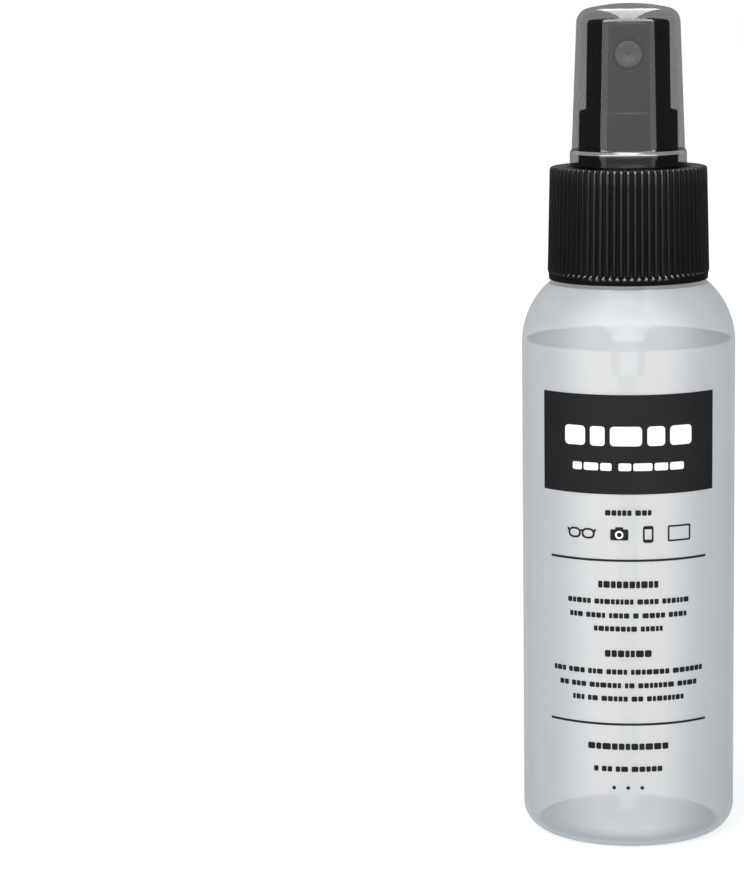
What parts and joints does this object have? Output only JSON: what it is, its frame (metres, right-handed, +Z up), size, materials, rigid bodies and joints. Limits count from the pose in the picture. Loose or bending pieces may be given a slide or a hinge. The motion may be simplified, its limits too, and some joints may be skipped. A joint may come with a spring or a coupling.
{
  "type": "spray bottle",
  "caption": "Cylindrical fine-mist spray bottle of lens cleaner with rounded shoulder, ribbed screw closure, press-down spray head and clear domed overcap.",
  "frame": {"origin": "centre of the bottle's round base, on the surface it stands on", "axes": "+Z up along the bottle's axis, -Y the way the spray head's nozzle and the printed panel face, +X to the right seen from the front"},
  "size_m": [0.041, 0.0411, 0.1606],
  "materials": {
    "milky_bottle": "smooth milky translucent blow-moulded plastic",
    "clear_fluid": "clear watery liquid",
    "black_print": "black ink film",
    "black_ribbed_plastic": "satin black moulded plastic",
    "foam_gasket": "soft white sealing foam",
    "natural_plastic": "unpigmented polypropylene",
    "black_collar_plastic": "satin black moulded plastic",
    "valve_plastic": "unpigmented acetal",
    "piston_plastic": "soft white polyethylene",
    "spring_steel": "bright stainless wire",
    "ball_steel": "polished stainless",
    "tube_plastic": "translucent polyethylene",
    "black_head_plastic": "satin black moulded plastic",
    "black_insert_plastic": "satin black moulded plastic",
    "smoke_clear_plastic": "glossy smoke-grey transparent styrene"
  },
  "bodies": {
    "bottle_body": {"bottle": "milky_bottle", "cleaning_fluid": "clear_fluid", "label_panel": "black_print"},
    "pump_unit": {"pump_housing": "natural_plastic", "collar": "black_collar_plastic", "neck_gasket": "foam_gasket", "spring_seat": "natural_plastic", "return_spring": "spring_steel", "dip_tube": "tube_plastic"},
    "closure_body": {"closure": "black_ribbed_plastic"},
    "overcap_body": {"overcap": "smoke_clear_plastic"},
    "plunger": {"stem": "natural_plastic", "valve_plug": "valve_plastic"},
    "head": {"actuator": "black_head_plastic", "nozzle_insert": "black_insert_plastic"},
    "piston_body": {"piston": "piston_plastic"},
    "ball_body": {"check_ball": "ball_steel"}
  },
  "joints": [
    {"name": "pump_lift", "type": "slide", "parent": "bottle_body", "child": "pump_unit", "axis": [0, 0, 1], "range_m": [0, 0.0064]},
    {"name": "closure_unscrew", "type": "hinge", "parent": "pump_unit", "child": "closure_body", "pos_m": [0, 0, 0.119], "axis": [0, 0, 1], "range_deg": [0, 540]},
    {"name": "overcap_lift", "type": "slide", "parent": "pump_unit", "child": "overcap_body", "axis": [0, 0, 1], "range_m": [0, 0.035]},
    {"name": "press", "type": "slide", "parent": "pump_unit", "child": "plunger", "axis": [0, 0, -1], "range_m": [0, 0.0045], "stiffness_N_per_m": 1500, "springref_m": -0.004, "deforming": ["return_spring"]},
    {"name": "head_swivel", "type": "hinge", "parent": "plunger", "child": "head", "pos_m": [0, 0, 0.146], "axis": [0, 0, 1], "continuous": true},
    {"name": "piston_float", "type": "slide", "parent": "plunger", "child": "piston_body", "axis": [0, 0, 1], "range_m": [0, 0.0006]},
    {"name": "ball_lift", "type": "slide", "parent": "pump_unit", "child": "ball_body", "axis": [0, 0, 1], "range_m": [0, 0.0008]}
  ],
  "couplings": [
    {"joint": "pump_lift", "follows": "closure_unscrew", "m_per_rad": 0.0006737}
  ]
}
